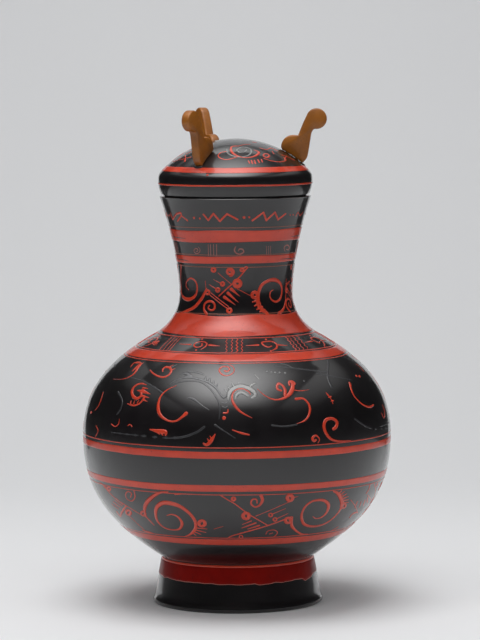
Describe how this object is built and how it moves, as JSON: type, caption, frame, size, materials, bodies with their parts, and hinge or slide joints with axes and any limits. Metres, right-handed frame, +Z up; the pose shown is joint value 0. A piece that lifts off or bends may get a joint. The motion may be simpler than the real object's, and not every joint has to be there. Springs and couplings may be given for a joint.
{
  "type": "lacquer jar",
  "caption": "Footed, round-bellied lacquered wooden wine jar with a flared neck and a lift-off domed lid with bird-shaped knobs.",
  "frame": {"origin": "centre of the foot's resting face, on the jar's axis", "axes": "+Z up along the jar's axis; the side painted towards the viewer faces -Y; +X towards the right-hand knob"},
  "size_m": [0.3536, 0.3536, 0.5654],
  "materials": {
    "black_lacquer": "polished black lacquer over turned wood",
    "vermilion_lacquer": "satin vermilion lacquer, brush painted",
    "ochre_lacquer": "satin ochre lacquer over carved wood",
    "bamboo": "bare split bamboo"
  },
  "bodies": {
    "vessel": {"foot_ring": "black_lacquer", "lower_belly": "black_lacquer", "upper_belly": "black_lacquer", "neck": "black_lacquer", "floor_disc": "vermilion_lacquer"},
    "lid": {"lid_dome": "black_lacquer", "lid_plug": "black_lacquer", "knob_right": "ochre_lacquer", "knob_rear": "ochre_lacquer", "knob_front": "ochre_lacquer", "knob_right_outer_pin": "bamboo", "knob_right_inner_pin": "bamboo", "knob_rear_outer_pin": "bamboo", "knob_rear_inner_pin": "bamboo", "knob_front_outer_pin": "bamboo", "knob_front_inner_pin": "bamboo"}
  },
  "joints": [
    {"name": "lid_lift", "type": "slide", "parent": "vessel", "child": "lid", "axis": [0, 0, 1], "range_m": [0, 0.15]}
  ]
}
